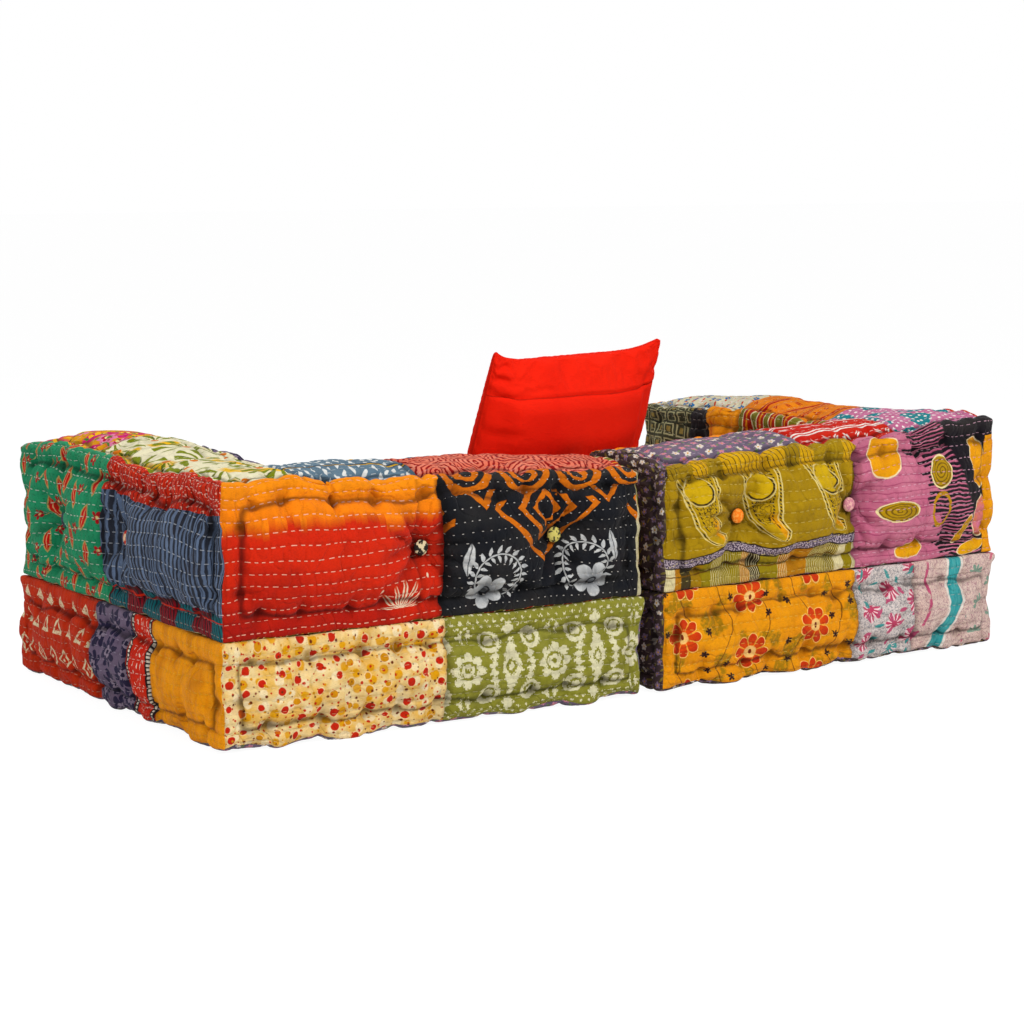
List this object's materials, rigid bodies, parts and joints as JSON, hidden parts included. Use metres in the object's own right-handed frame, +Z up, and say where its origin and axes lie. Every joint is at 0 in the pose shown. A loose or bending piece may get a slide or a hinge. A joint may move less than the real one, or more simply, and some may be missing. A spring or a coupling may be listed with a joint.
{
  "type": "modular pouf sofa",
  "caption": "Low floor sofa of square patchwork mattress modules with L-shaped bolster backs and arms, and a loose square pillow.",
  "frame": {"origin": "middle of the base of the whole sofa's bounding box, on the floor", "axes": "+Z up, +X to the sitter's left along the row of modules, +Y to the rear"},
  "size_m": [1.4356, 0.732, 0.5319],
  "materials": {
    "patchwork_left_seat": "quilted printed cotton patches with running stitches",
    "patchwork_left_bolster": "quilted printed cotton patches with running stitches",
    "patchwork_right_seat": "quilted printed cotton patches with running stitches",
    "patchwork_right_bolster": "quilted printed cotton patches with running stitches",
    "cotton_filling": "carded cotton",
    "twine": "twisted cotton twine",
    "cloth_buttons": "cloth-covered buttons",
    "red_cotton": "plain woven cotton",
    "zip_tape": "woven tape with a nylon coil",
    "zip_metal": "nickel plated"
  },
  "bodies": {
    "left_module": {"left_seat_cover": "patchwork_left_seat", "left_seat_filling": "cotton_filling", "left_seat_ties": "twine", "left_seat_buttons": "cloth_buttons", "left_bolster_cover": "patchwork_left_bolster", "left_bolster_filling": "cotton_filling", "left_bolster_ties": "twine", "left_bolster_buttons": "cloth_buttons", "left_lacing": "twine"},
    "right_module": {"right_seat_cover": "patchwork_right_seat", "right_seat_filling": "cotton_filling", "right_seat_ties": "twine", "right_seat_buttons": "cloth_buttons", "right_bolster_cover": "patchwork_right_bolster", "right_bolster_filling": "cotton_filling", "right_bolster_ties": "twine", "right_bolster_buttons": "cloth_buttons", "right_lacing": "twine"},
    "pillow": {"pillow_cover": "red_cotton", "pillow_filling": "cotton_filling", "pillow_zip": "zip_tape"},
    "zip_slider": {"pillow_zip_slider": "zip_metal"}
  },
  "joints": [
    {"name": "right_module_slide", "type": "slide", "parent": "left_module", "child": "right_module", "axis": [-1, 0, 0], "range_m": [0, 0.4]},
    {"name": "pillow_lift", "type": "slide", "parent": "left_module", "child": "pillow", "axis": [0, 0, 1], "range_m": [0, 0.45]},
    {"name": "pillow_zip_travel", "type": "hinge", "parent": "pillow", "child": "zip_slider", "pos_m": [0.1113, -0.37784, 0.55691], "axis": [-0.0707, 0.2837, 0.9563], "range_deg": [0, 23.9]}
  ]
}
